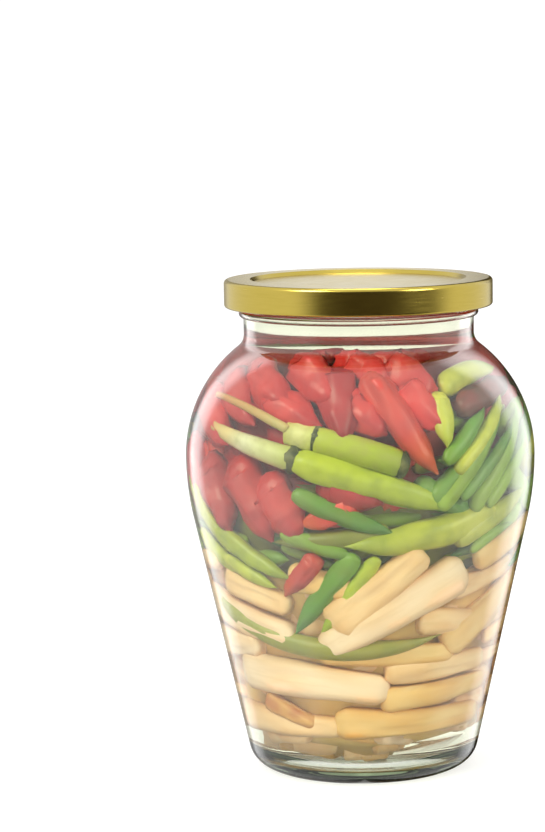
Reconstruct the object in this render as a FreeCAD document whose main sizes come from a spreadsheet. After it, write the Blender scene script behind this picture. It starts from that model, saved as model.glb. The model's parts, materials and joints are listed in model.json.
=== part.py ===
import FreeCAD
import Part
import Sketcher
import math
import os

# A preserve jar of pressed glass with a lacquered twist-off lid, packed with bamboo shoots,
# green chillies and red chillies under brine.
# Millimetres, +Z up. The origin lies on the jar's axis, at the ring that the jar stands on.

SIZES = {
    # the glass, outside: from the ring it stands on up to the lip
    "ring_width": 4.0,
    "push_up": 3.0,
    "heel_curve": 10.0,
    "side_angle": 12.45,
    "lower_curve": 110.0,
    "belly_radius": 67.4,
    "belly_height": 122.0,
    "shoulder_curve": 53.5,
    "neck_curve": 6.0,
    "neck_radius": 44.2,
    "neck_length": 6.5,
    "bead_height": 3.0,
    "bead_depth": 1.8,
    "relief_length": 0.6,
    "step_angle": 45.0,
    "finish_height": 5.4,
    "lip_curve": 1.6,
    # the glass, inside
    "wall": 3.0,
    "base_thickness": 6.0,
    "inner_heel_curve": 9.0,
    "mouth_radius": 43.4,
    # the thread ramps on the finish, which the lid's lugs turn in under
    "start_count": 6,
    "ramp_depth": 1.8,
    "ramp_height": 2.4,
    "ramp_sweep": 42.0,
    "ramp_pitch": 2.6,
    "ramp_drop": 4.4,
    # the lid, drawn from lacquered tinplate; its room is from the glass's finish to its outside
    "lid_radius": 51.5,
    "lid_room": 3.9,
    "lid_height": 10.6,
    "sheet": 0.5,
    "lid_shoulder": 1.5,
    "rim_width": 10.0,
    "panel_drop": 1.4,
    "panel_slope": 1.2,
    "curl_radius": 1.1,
    "lug_depth": 2.3,
    "lug_height": 1.8,
    "lug_sweep": 22.0,
    # the gasket that is flowed into the lid's channel
    "liner_thickness": 1.6,
    "liner_width": 8.0,
    # the brine's level, down from the foot of the finish's step
    "headspace": 0.6,
    # the packed vegetables; the layers' tops are up or down from the widest place
    "pack_gap": 0.8,
    "core_depth": 7.0,
    "shoot_top": -52.0,
    "green_top": -16.0,
    "red_top": 36.0,
    "shoot_length": 54.0,
    "shoot_width": 15.0,
    "shoot_thickness": 9.5,
    "green_girth": 14.0,
    "red_girth": 13.5,
    "chilli_gap": 0.4,
    "shoot_press": 0.6,
}

FULL_TURN = 360.0
GOLDEN_ANGLE = 137.5
# how the pieces of each layer lie: counts, then angles in degrees, then shares of the layer's
# depth or of the step to the next piece; a row of shoots is a share of a shoot's width high
SHOOTS = {
    "row_pitch": 0.85, "in_row": 6, "lean": 10, "tilt": 14, "turn": 6,
    "stagger": 0.4, "seat": 0.62, "lift": 2.5,
}
GREENS = {"count": 9, "levels": 3, "sweep": 74, "foot": 0.3, "climb": 0.25, "rise": 0.2}
REDS = {
    "rows": 3, "in_row": 5, "sweep": 58, "turn": 8, "stagger": 0.37,
    "foot": 0.25, "climb": 0.31, "rise": 0.12,
}
# a split shoot's width spread, and its thin end as shares of its width and thickness
SHOOT_SPREAD = 0.2
SHOOT_TIP_SIDES = (0.15, 0.8)
SHOOT_TIP_DEPTH = 0.9
# how thick a chilli is along its length, from the calyx to the tip, as shares of its girth
CHILLI_TAPER = (0.62, 1.0, 0.92, 0.62, 0.16)
# where the packing's core turns in under the shoulder
CORE_BEND = 45

# heights along the axis, as the sizes give them
SHOULDER_RISE = (
    "sqrt((Sizes.shoulder_curve + Sizes.neck_curve)^2"
    " - (Sizes.neck_radius + Sizes.neck_curve - Sizes.belly_radius + Sizes.shoulder_curve)^2)"
)
NECK_FOOT = f"(Sizes.belly_height + {SHOULDER_RISE})"
BEAD_TOP = f"({NECK_FOOT} + Sizes.neck_length + Sizes.bead_height)"
STEP_FOOT = f"({BEAD_TOP} + Sizes.relief_length)"
FINISH_RADIUS = "(Sizes.lid_radius - Sizes.lid_room)"
STEP_RISE = f"({FINISH_RADIUS} - Sizes.neck_radius) * tan(Sizes.step_angle)"
LIP_HEIGHT = f"({STEP_FOOT} + {STEP_RISE} + Sizes.finish_height)"
BRINE_LEVEL = f"({STEP_FOOT} - Sizes.headspace)"
SHOOT_TOP = "(Sizes.belly_height + Sizes.shoot_top)"
GREEN_TOP = "(Sizes.belly_height + Sizes.green_top)"
RED_TOP = "(Sizes.belly_height + Sizes.red_top)"
LIP_CLEARANCE = "(Sizes.liner_thickness + Sizes.sheet)"
CORE_FLOOR = "(Sizes.base_thickness + Sizes.pack_gap)"

doc = FreeCAD.newDocument("preserve_jar")
sheet = doc.addObject("Spreadsheet::Sheet", "Sizes")
for row, (alias, number) in enumerate(SIZES.items(), start=1):
    sheet.set(f"A{row}", alias)
    sheet.set(f"B{row}", str(number))
    sheet.setAlias(f"B{row}", alias)
doc.recompute()


def value(expression):
    """The number that an expression in the sheet's sizes gives."""
    result = sheet.evalExpression(expression.replace("Sizes.", ""))
    return float(result)


def point(radius, height):
    return FreeCAD.Vector(radius, height, 0)


class Outline:
    """A closed outline in a body's upright plane, drawn piece after piece.

    Across the plane is the distance from the axis, up the plane is the height.
    """

    def __init__(self, body, name, start):
        self.sketch = body.newObject("Sketcher::SketchObject", name)
        upright = [plane for plane in body.Origin.OriginFeatures if plane.Role == "XZ_Plane"]
        self.sketch.AttachmentSupport = [(upright[0], "")]
        self.sketch.MapMode = "FlatFace"
        self.at = start
        self.pieces = []

    def tie(self, kind, *places):
        self.sketch.addConstraint(Sketcher.Constraint(kind, *places))

    def measure(self, kind, *places, size):
        """Add a dimension that follows an expression in the sheet's sizes."""
        number = value(size)
        if kind == "Angle":
            number = math.radians(number)
        index = self.sketch.addConstraint(Sketcher.Constraint(kind, *places, number))
        self.sketch.setExpression(f"Constraints[{index}]", size)

    def join(self, first, last, smooth):
        """Note the new piece and join it to the one before."""
        index = self.sketch.GeometryCount - 1
        if self.pieces:
            joint = "Tangent" if smooth else "Coincident"
            self.tie(joint, *self.pieces[-1][1], index, first)
        self.pieces.append(((index, first), (index, last)))
        return index

    def line(self, end, smooth=False):
        self.sketch.addGeometry(Part.LineSegment(self.at, end), False)
        self.at = end
        return self.join(1, 2, smooth)

    def arc(self, centre, end, clockwise=False, smooth=True):
        """An arc about a centre from the last point to the end."""
        first, last = (end, self.at) if clockwise else (self.at, end)
        angles = [math.atan2(place.y - centre.y, place.x - centre.x) for place in (first, last)]
        radius = (end - centre).Length
        circle = Part.Circle(centre, FreeCAD.Vector(0, 0, 1), radius)
        self.sketch.addGeometry(Part.ArcOfCircle(circle, *angles), False)
        self.at = end
        return self.join(2, 1, smooth) if clockwise else self.join(1, 2, smooth)

    def start_of(self, index):
        return self.pieces[index][0]

    def end_of(self, index):
        return self.pieces[index][1]

    def close(self):
        self.tie("Coincident", *self.pieces[-1][1], *self.pieces[0][0])


def revolve(body, outline, name, sweep=None, both_ways=False):
    """Turn an outline about the body's upright axis, the full way round or through a sweep."""
    turned = body.newObject("PartDesign::Revolution", name)
    turned.Profile = outline.sketch
    turned.ReferenceAxis = (outline.sketch, ["V_Axis"])
    if sweep is None:
        turned.Angle = FULL_TURN
    else:
        turned.Midplane = both_ways
        turned.setExpression("Angle", sweep)
    outline.sketch.Visibility = False
    return turned


class Wall:
    """Where the stretches of the wall meet, at a distance inside the glass's outer face."""

    def __init__(self, inset, floor, heel):
        lean = math.radians(value("Sizes.side_angle"))
        belly = value("Sizes.belly_radius") - inset
        height = value("Sizes.belly_height")
        lower = value("Sizes.lower_curve") - inset
        shoulder = value("Sizes.shoulder_curve") - inset
        neck_curve = value("Sizes.neck_curve") + inset
        across = FreeCAD.Vector(math.cos(lean), -math.sin(lean), 0)
        self.belly = point(belly, height)
        self.lower_centre = point(belly - lower, height)
        self.lower_end = self.lower_centre + across * lower
        self.shoulder_centre = point(belly - shoulder, height)
        self.neck_foot = point(value("Sizes.neck_radius") - inset, value(NECK_FOOT))
        self.neck_centre = self.neck_foot + point(neck_curve, 0)
        reach = self.neck_centre - self.shoulder_centre
        self.shoulder_end = self.shoulder_centre + reach * (shoulder / reach.Length)
        centre_height = floor + heel
        side_height = centre_height - heel * math.sin(lean)
        side = self.lower_end.x - (self.lower_end.y - side_height) * math.tan(lean)
        self.heel_centre = point(side - heel * math.cos(lean), centre_height)
        self.heel_top = point(side, side_height)
        self.heel_foot = point(self.heel_centre.x, floor)

    def radius(self, height):
        """The wall's distance from the axis at a height between the heel and the neck."""
        if height < self.lower_end.y:
            lean = math.radians(value("Sizes.side_angle"))
            return self.lower_end.x - (self.lower_end.y - height) * math.tan(lean)
        centre = self.lower_centre if height < self.belly.y else self.shoulder_centre
        curve = self.belly.x - centre.x
        return centre.x + math.sqrt(curve * curve - (height - centre.y) ** 2)


def tie_belly(outline, lower, shoulder, inset):
    """Hold the widest point, where the two large curves meet with an upright tangent."""
    widest = max(lower, shoulder)
    outline.measure("Radius", lower, size=f"Sizes.lower_curve - {inset}")
    outline.measure("Radius", shoulder, size=f"Sizes.shoulder_curve - {inset}")
    place = outline.start_of(widest)
    outline.measure("DistanceX", -1, 1, *place, size=f"Sizes.belly_radius - {inset}")
    outline.measure("DistanceY", -1, 1, *place, size="Sizes.belly_height")
    outline.tie("Horizontal", lower, 3, *place)


def draw_inside(outline, inset, floor, heel):
    """Draw the wall from the neck down to the middle of the floor, a distance inside the glass."""
    wall = Wall(value(inset), value(floor), value(heel))
    neck = outline.line(wall.neck_foot)
    outline.tie("Vertical", neck)
    outline.measure("DistanceX", -1, 1, *outline.start_of(neck), size=f"Sizes.neck_radius - {inset}")
    curve = outline.arc(wall.neck_centre, wall.shoulder_end)
    outline.measure("Radius", curve, size=f"Sizes.neck_curve + {inset}")
    shoulder = outline.arc(wall.shoulder_centre, wall.belly, clockwise=True)
    lower = outline.arc(wall.lower_centre, wall.lower_end, clockwise=True)
    tie_belly(outline, lower, shoulder, inset)
    side = outline.line(wall.heel_top, smooth=True)
    outline.measure("Angle", side, size="-90 - Sizes.side_angle")
    rounded = outline.arc(wall.heel_centre, wall.heel_foot, clockwise=True)
    outline.measure("Radius", rounded, size=heel)
    bottom = outline.line(point(0, value(floor)), smooth=True)
    outline.tie("Horizontal", bottom)
    outline.tie("PointOnObject", *outline.end_of(bottom), -2)
    outline.measure("DistanceY", -1, 1, *outline.end_of(bottom), size=floor)
    return neck


def draw_contents(body, name, inset, floor, heel):
    """Draw what fills the jar up to the brine's level, a distance inside the glass."""
    level = value(BRINE_LEVEL)
    outline = Outline(body, name, point(0, level))
    top = outline.line(point(value(f"Sizes.neck_radius - {inset}"), level))
    outline.tie("Horizontal", top)
    outline.tie("PointOnObject", *outline.start_of(top), -2)
    outline.measure("DistanceY", -1, 1, *outline.start_of(top), size=BRINE_LEVEL)
    draw_inside(outline, inset, floor, heel)
    outline.line(point(0, level))
    outline.close()
    return outline


def make_body(name):
    body = doc.addObject("PartDesign::Body", name)
    body.Label = name
    return body


def repeat_round(body, feature, name):
    """Repeat a feature once for each thread start, evenly round the axis."""
    pattern = body.newObject("PartDesign::PolarPattern", name)
    pattern.Originals = [feature]
    upright = [axis for axis in body.Origin.OriginFeatures if axis.Role == "Z_Axis"]
    pattern.Axis = (upright[0], [""])
    pattern.Angle = FULL_TURN
    pattern.setExpression("Occurrences", "Sizes.start_count")
    body.Tip = pattern


def make_glass():
    """The jar: a blown wall in tangent arcs, a pushed-up base, and the finish for the lid."""
    body = make_body("glass_jar")
    outside = Wall(0, 0, value("Sizes.heel_curve"))
    ring_inside = outside.heel_foot - point(value("Sizes.ring_width"), 0)
    outline = Outline(body, "glass_outline", ring_inside)

    ring = outline.line(outside.heel_foot)
    outline.tie("PointOnObject", *outline.start_of(ring), -1)
    outline.tie("Horizontal", ring)
    outline.measure("Distance", ring, size="Sizes.ring_width")
    heel = outline.arc(outside.heel_centre, outside.heel_top)
    outline.measure("Radius", heel, size="Sizes.heel_curve")
    side = outline.line(outside.lower_end, smooth=True)
    outline.measure("Angle", side, size="90 - Sizes.side_angle")
    lower = outline.arc(outside.lower_centre, outside.belly)
    shoulder = outline.arc(outside.shoulder_centre, outside.shoulder_end)
    tie_belly(outline, lower, shoulder, "0")
    neck_curve = outline.arc(outside.neck_centre, outside.neck_foot, clockwise=True)
    outline.measure("Radius", neck_curve, size="Sizes.neck_curve")

    bead_height = value("Sizes.bead_height")
    bead_curve = "(Sizes.bead_height^2 / 4 + Sizes.bead_depth^2) / (2 * Sizes.bead_depth)"
    bead_foot = outside.neck_foot + point(0, value("Sizes.neck_length"))
    bead_out = value("Sizes.bead_depth") - value(bead_curve)
    neck = outline.line(bead_foot, smooth=True)
    outline.tie("Vertical", neck)
    outline.measure("DistanceX", -1, 1, *outline.start_of(neck), size="Sizes.neck_radius")
    outline.measure("Distance", neck, size="Sizes.neck_length")
    bead = outline.arc(
        bead_foot + point(bead_out, bead_height / 2), bead_foot + point(0, bead_height), smooth=False
    )
    outline.measure("Radius", bead, size=bead_curve)
    outline.tie("Vertical", *outline.start_of(bead), *outline.end_of(bead))
    outline.measure(
        "DistanceY", *outline.start_of(bead), *outline.end_of(bead), size="Sizes.bead_height"
    )
    relief = outline.line(outline.at + point(0, value("Sizes.relief_length")))
    outline.tie("Vertical", relief)
    outline.measure("Distance", relief, size="Sizes.relief_length")
    step_out = value(f"{FINISH_RADIUS} - Sizes.neck_radius")
    step_up = value(STEP_RISE)
    step = outline.line(outline.at + point(step_out, step_up))
    outline.measure("Angle", step, size="Sizes.step_angle")

    lip = value("Sizes.lip_curve")
    lip_height = value(LIP_HEIGHT)
    outer_wall = value(FINISH_RADIUS)
    mouth = value("Sizes.mouth_radius")
    step_top = outline.at.y
    finish = outline.line(point(outer_wall, lip_height - lip))
    outline.tie("Vertical", finish)
    outline.measure("DistanceX", -1, 1, *outline.start_of(finish), size=FINISH_RADIUS)
    lip_outside = outline.arc(
        point(outer_wall - lip, lip_height - lip), point(outer_wall - lip, lip_height)
    )
    outline.measure("Radius", lip_outside, size="Sizes.lip_curve")
    top = outline.line(point(mouth + lip, lip_height), smooth=True)
    outline.tie("Horizontal", top)
    outline.measure(
        "DistanceY", *outline.end_of(step), *outline.start_of(top), size="Sizes.finish_height"
    )
    lip_inside = outline.arc(point(mouth + lip, lip_height - lip), point(mouth, lip_height - lip))
    outline.measure("Radius", lip_inside, size="Sizes.lip_curve")
    mouth_wall = outline.line(point(mouth, step_top), smooth=True)
    outline.tie("Vertical", mouth_wall)
    outline.tie("Horizontal", *outline.end_of(mouth_wall), *outline.end_of(step))
    outline.measure("DistanceX", -1, 1, *outline.end_of(mouth_wall), size="Sizes.mouth_radius")
    flare = outline.line(point(value("Sizes.neck_radius - Sizes.wall"), step_top - step_up))
    outline.tie("Horizontal", *outline.end_of(flare), *outline.start_of(step))

    draw_inside(outline, "Sizes.wall", "Sizes.base_thickness", "Sizes.inner_heel_curve")
    push_up = value("Sizes.push_up")
    middle = outline.line(point(0, push_up))
    outline.tie("Vertical", middle)
    outline.measure("DistanceY", -1, 1, *outline.end_of(middle), size="Sizes.push_up")
    dome = (ring_inside.x**2 + push_up**2) / (2 * push_up)
    under = outline.arc(point(0, push_up - dome), ring_inside, clockwise=True, smooth=False)
    outline.tie("PointOnObject", under, 3, -2)
    outline.close()
    revolve(body, outline, "glass_wall")
    doc.recompute()
    add_ramps(body)
    return body


def add_ramps(body):
    """Sloping thread ramps round the finish, one for each lug of the lid."""
    root = f"{FINISH_RADIUS} - Sizes.ramp_depth / 2"
    crest = f"{FINISH_RADIUS} + Sizes.ramp_depth"
    inner = value(root)
    outer = value(crest)
    low = value("-Sizes.ramp_height / 2")
    high = value("Sizes.ramp_height / 2")
    nose = value("Sizes.ramp_height / 4")
    outline = Outline(body, "ramp_outline", point(inner, low))
    under = outline.line(point(outer, -nose))
    front = outline.line(point(outer, nose))
    outline.line(point(inner, high))
    back = outline.line(point(inner, low))
    outline.close()
    outline.tie("Symmetric", *outline.start_of(front), *outline.end_of(front), -1)
    outline.tie("Symmetric", *outline.start_of(back), *outline.end_of(back), -1)
    outline.measure("DistanceX", -1, 1, *outline.start_of(under), size=root)
    outline.measure("DistanceX", -1, 1, *outline.start_of(front), size=crest)
    outline.measure("Distance", back, size="Sizes.ramp_height")
    outline.measure("Distance", front, size="Sizes.ramp_height / 2")
    outline.sketch.AttachmentOffset = FreeCAD.Placement(
        FreeCAD.Vector(0, 0, 0),
        FreeCAD.Rotation(FreeCAD.Vector(1, 0, 0), value("Sizes.ramp_pitch")),
    )
    outline.sketch.setExpression("AttachmentOffset.Base.y", f"{LIP_HEIGHT} - Sizes.ramp_drop")
    ramp = revolve(body, outline, "ramp", sweep="Sizes.ramp_sweep", both_ways=True)
    doc.recompute()
    repeat_round(body, ramp, "ramps")


def make_lid():
    """The lid, in its own frame: height 0 is where the glass's lip meets the gasket."""
    body = make_body("lid")
    radius = value("Sizes.lid_radius")
    gauge = value("Sizes.sheet")
    top = value(LIP_CLEARANCE)
    curve = value("Sizes.lid_shoulder")
    curl = value("Sizes.curl_radius")
    skirt_foot = top - value("Sizes.lid_height") + curl
    rim_inside = radius - value("Sizes.rim_width")
    panel_edge = rim_inside - value("Sizes.panel_slope")
    panel = top - value("Sizes.panel_drop")

    outline = Outline(body, "lid_outline", point(radius - gauge, skirt_foot))
    foot = outline.line(point(radius, skirt_foot))
    outline.tie("Horizontal", foot)
    outline.measure("Distance", foot, size="Sizes.sheet")
    outline.measure("DistanceX", -1, 1, *outline.end_of(foot), size="Sizes.lid_radius")
    skirt = outline.line(point(radius, top - curve))
    outline.tie("Vertical", skirt)
    bend = outline.arc(point(radius - curve, top - curve), point(radius - curve, top))
    outline.measure("Radius", bend, size="Sizes.lid_shoulder")
    rim = outline.line(point(rim_inside, top), smooth=True)
    outline.tie("Horizontal", rim)
    outline.measure("DistanceX", -1, 1, *outline.end_of(rim), size="Sizes.lid_radius - Sizes.rim_width")
    outline.measure("DistanceY", -1, 1, *outline.end_of(rim), size=LIP_CLEARANCE)
    depth = "Sizes.lid_height - Sizes.curl_radius"
    outline.measure("DistanceY", *outline.start_of(skirt), *outline.end_of(rim), size=depth)
    slope = outline.line(point(panel_edge, panel))
    ends = (*outline.end_of(slope), *outline.start_of(slope))
    outline.measure("DistanceX", *ends, size="Sizes.panel_slope")
    outline.measure("DistanceY", *ends, size="Sizes.panel_drop")
    face = outline.line(point(0, panel))
    outline.tie("Horizontal", face)
    outline.tie("PointOnObject", *outline.end_of(face), -2)
    middle = outline.line(point(0, panel - gauge))
    outline.tie("Vertical", middle)
    outline.measure("Distance", middle, size="Sizes.sheet")
    back = outline.line(point(panel_edge, panel - gauge))
    outline.tie("Horizontal", back)
    outline.tie("Vertical", *outline.end_of(back), *outline.end_of(slope))
    slope_back = outline.line(point(rim_inside, top - gauge))
    outline.tie("Parallel", slope_back, slope)
    channel = outline.line(point(radius - curve, top - gauge))
    outline.tie("Horizontal", channel)
    outline.tie("Vertical", *outline.start_of(channel), *outline.end_of(rim))
    inner_bend = outline.arc(
        point(radius - curve, top - curve), point(radius - gauge, top - curve), clockwise=True
    )
    outline.measure("Radius", inner_bend, size="Sizes.lid_shoulder - Sizes.sheet")
    skirt_inside = outline.line(point(radius - gauge, skirt_foot), smooth=True)
    outline.tie("Vertical", skirt_inside)
    outline.close()
    revolve(body, outline, "lid_sheet")
    doc.recompute()

    add_curl(body, radius - curl, skirt_foot)
    add_lugs(body, skirt_foot)
    body.setExpression("Placement.Base.z", LIP_HEIGHT)
    return body


def add_curl(body, across, height):
    """The skirt's bottom edge, rolled inwards into a bead."""
    centre = point(across, height)
    outline = Outline(body, "curl_outline", centre)
    roll = Part.Circle(centre, FreeCAD.Vector(0, 0, 1), value("Sizes.curl_radius"))
    outline.sketch.addGeometry(roll, False)
    outline.measure("Radius", 0, size="Sizes.curl_radius")
    outline.measure("DistanceX", -1, 1, 0, 3, size="Sizes.lid_radius - Sizes.curl_radius")
    foot = f"{LIP_CLEARANCE} - Sizes.lid_height + Sizes.curl_radius"
    outline.measure("DistanceY", -1, 1, 0, 3, size=foot)
    revolve(body, outline, "curl")
    doc.recompute()


def add_lugs(body, height):
    """Lugs pressed inwards out of the curl, one for each thread start of the glass."""
    root = "Sizes.lid_radius - Sizes.curl_radius"
    tip = "Sizes.lid_radius - Sizes.sheet - Sizes.lug_depth"
    foot = f"{LIP_CLEARANCE} - Sizes.lid_height + Sizes.curl_radius / 2"
    outer = value(root)
    inner = value(tip)
    low = height - value("Sizes.curl_radius / 2")
    high = low + value("Sizes.lug_height")
    outline = Outline(body, "lug_outline", point(inner, low))
    under = outline.line(point(outer, low))
    back = outline.line(point(outer, high))
    upper = outline.line(point(inner, high))
    nose = outline.line(point(inner, low))
    outline.close()
    for level in (under, upper):
        outline.tie("Horizontal", level)
    for upright in (back, nose):
        outline.tie("Vertical", upright)
    outline.measure("DistanceX", -1, 1, *outline.end_of(under), size=root)
    outline.measure("DistanceX", -1, 1, *outline.start_of(under), size=tip)
    outline.measure("DistanceY", -1, 1, *outline.start_of(under), size=foot)
    outline.measure("Distance", back, size="Sizes.lug_height")
    lug = revolve(body, outline, "lug", sweep="Sizes.lug_sweep", both_ways=True)
    doc.recompute()
    repeat_round(body, lug, "lugs")


def make_liner():
    """The soft gasket ring between the glass's lip and the lid's channel."""
    body = make_body("lid_liner")
    outer = value("Sizes.lid_radius - Sizes.lid_shoulder")
    inner = outer - value("Sizes.liner_width")
    thickness = value("Sizes.liner_thickness")
    outline = Outline(body, "liner_outline", point(inner, 0))
    under = outline.line(point(outer, 0))
    back = outline.line(point(outer, thickness))
    upper = outline.line(point(inner, thickness))
    front = outline.line(point(inner, 0))
    outline.close()
    for level in (under, upper):
        outline.tie("Horizontal", level)
    for upright in (back, front):
        outline.tie("Vertical", upright)
    outline.tie("PointOnObject", *outline.start_of(under), -1)
    outline.measure("Distance", under, size="Sizes.liner_width")
    outline.measure("Distance", back, size="Sizes.liner_thickness")
    outline.measure("DistanceX", -1, 1, *outline.end_of(under), size="Sizes.lid_radius - Sizes.lid_shoulder")
    revolve(body, outline, "liner_ring")
    body.setExpression("Placement.Base.z", LIP_HEIGHT)
    return body


def make_filling(name, inset, floor, heel):
    body = make_body(name)
    outline = draw_contents(body, f"{name}_outline", inset, floor, heel)
    revolve(body, outline, f"{name}_turned")
    return body


def draw_core(body):
    """Draw the packing's inner core, which stays clear of the wall all the way up."""
    inset = "(Sizes.wall + Sizes.core_depth)"
    side_top = "(Sizes.belly_height - Sizes.lower_curve * sin(Sizes.side_angle))"
    side_out = f"(Sizes.belly_radius - Sizes.lower_curve * (1 - cos(Sizes.side_angle)) - {inset})"
    bend_out = f"(Sizes.belly_radius - {inset} - Sizes.shoulder_curve * (1 - cos({CORE_BEND})))"
    corners = [
        (f"({side_out} - ({side_top} - {CORE_FLOOR}) * tan(Sizes.side_angle))", CORE_FLOOR),
        (side_out, side_top),
        (f"(Sizes.belly_radius - {inset})", "Sizes.belly_height"),
        (bend_out, f"(Sizes.belly_height + (Sizes.shoulder_curve - {inset}) * sin({CORE_BEND}))"),
        ("(Sizes.neck_radius - Sizes.wall)", f"({NECK_FOOT} - Sizes.wall)"),
    ]
    floor = value(CORE_FLOOR)
    outline = Outline(body, "packing_core_outline", point(0, floor))
    bottom = outline.line(point(value(corners[0][0]), floor))
    outline.tie("PointOnObject", *outline.start_of(bottom), -2)
    outline.tie("Horizontal", bottom)
    for across, height in corners[1:]:
        outline.line(point(value(across), value(height)))
    top = outline.line(point(0, value(corners[-1][1])))
    outline.tie("Horizontal", top)
    outline.tie("PointOnObject", *outline.end_of(top), -2)
    outline.line(point(0, floor))
    outline.close()
    for index, (across, height) in enumerate(corners):
        outline.measure("DistanceX", -1, 1, *outline.end_of(index), size=across)
        outline.measure("DistanceY", -1, 1, *outline.end_of(index), size=height)
    return outline


def make_slab(name, low, high):
    """A block that is wider than the jar, between two heights."""
    slab = doc.addObject("Part::Box", name)
    slab.setExpression("Length", "2 * Sizes.belly_radius")
    slab.setExpression("Width", "2 * Sizes.belly_radius")
    slab.setExpression("Height", f"{high} - {low}")
    slab.setExpression("Placement.Base.x", "-Sizes.belly_radius")
    slab.setExpression("Placement.Base.y", "-Sizes.belly_radius")
    slab.setExpression("Placement.Base.z", low)
    return slab


def make_core(name, filling, low, high):
    core = doc.addObject("Part::Common", name)
    core.Base = filling
    core.Tool = make_slab(f"{name}_slab", low, high)
    return core


def unevenness(index, reach):
    """A spread between -reach and reach that doesn't repeat from piece to piece."""
    return reach * math.sin(math.radians(index * GOLDEN_ANGLE) * 3)


def compass(azimuth):
    """The directions away from the axis and round it at an azimuth."""
    turn = math.radians(azimuth)
    out = FreeCAD.Vector(math.cos(turn), math.sin(turn), 0)
    return out, FreeCAD.Vector(-out.y, out.x, 0)


def make_shoot(name, index, azimuth, height):
    """One split bamboo shoot, a tapered baton that lies along the glass."""
    baton = doc.addObject("Part::Wedge", name)
    width_share = 1 + unevenness(index, SHOOT_SPREAD)
    near, far = SHOOT_TIP_SIDES
    lean = math.radians(SHOOTS["lean"])
    for corner in ("Xmin", "Ymin", "Zmin"):
        baton.setExpression(corner, "0")
    baton.setExpression("Xmax", f"Sizes.shoot_width * {width_share}")
    baton.setExpression("Ymax", "Sizes.shoot_length")
    baton.setExpression("Zmax", "Sizes.shoot_thickness")
    baton.setExpression("X2min", f"Sizes.shoot_width * {near}")
    baton.setExpression("X2max", f"Sizes.shoot_width * {width_share} * {far}")
    baton.setExpression("Z2min", "0")
    baton.setExpression("Z2max", f"Sizes.shoot_thickness * {SHOOT_TIP_DEPTH}")
    wall = Wall(value("Sizes.wall + Sizes.pack_gap"), 0, value("Sizes.inner_heel_curve"))
    out, along = compass(azimuth)
    out_lean = out * math.cos(lean) - FreeCAD.Vector(0, 0, math.sin(lean))
    tilt = FreeCAD.Rotation(out_lean, unevenness(index + 1, SHOOTS["tilt"]))
    lie = tilt.multVec(along)
    upward = out_lean.cross(lie)
    middle = out * (wall.radius(height) - value("Sizes.shoot_thickness - Sizes.shoot_press"))
    middle += FreeCAD.Vector(0, 0, height)
    corner = middle - lie * value("Sizes.shoot_length / 2") - upward * value("Sizes.shoot_width / 2")
    turn = FreeCAD.Rotation(upward, lie, out_lean, "ZYX")
    baton.Placement = FreeCAD.Placement(corner, turn)
    return baton


def make_chilli(name, girth, azimuth, sweep, foot, rise):
    """One whole chilli that lies along the glass: a loft from its calyx to its tip."""
    stations = len(CHILLI_TAPER) - 1
    room = value("Sizes.wall + Sizes.pack_gap + Sizes.chilli_gap")

    def place(share, thickness):
        out, _ = compass(azimuth + sweep * share)
        height = foot + rise * share
        wall = Wall(room + thickness, 0, value("Sizes.inner_heel_curve"))
        return out * wall.radius(height) + FreeCAD.Vector(0, 0, height)

    rings = []
    for station, share in enumerate(CHILLI_TAPER):
        thickness = value(girth) / 2 * share
        along = station / stations
        ring = doc.addObject("Part::Circle", f"{name}_ring_{station}")
        ring.setExpression("Radius", f"{girth} / 2 * {share}")
        heading = place(along + 0.05, thickness) - place(along - 0.05, thickness)
        heading.normalize()
        out, _ = compass(azimuth + sweep * along)
        side = heading.cross(out)
        side.normalize()
        turn = FreeCAD.Rotation(side.cross(heading), side, heading, "ZYX")
        ring.Placement = FreeCAD.Placement(place(along, thickness), turn)
        rings.append(ring)
    chilli = doc.addObject("Part::Loft", name)
    chilli.Sections = rings
    chilli.Solid = True
    chilli.Ruled = True
    return chilli


def fuse(name, pieces):
    joined = doc.addObject("Part::MultiFuse", name)
    joined.Shapes = pieces
    return joined


def cut(name, base, tool):
    rest = doc.addObject("Part::Cut", name)
    rest.Base = base
    rest.Tool = tool
    return rest


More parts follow.
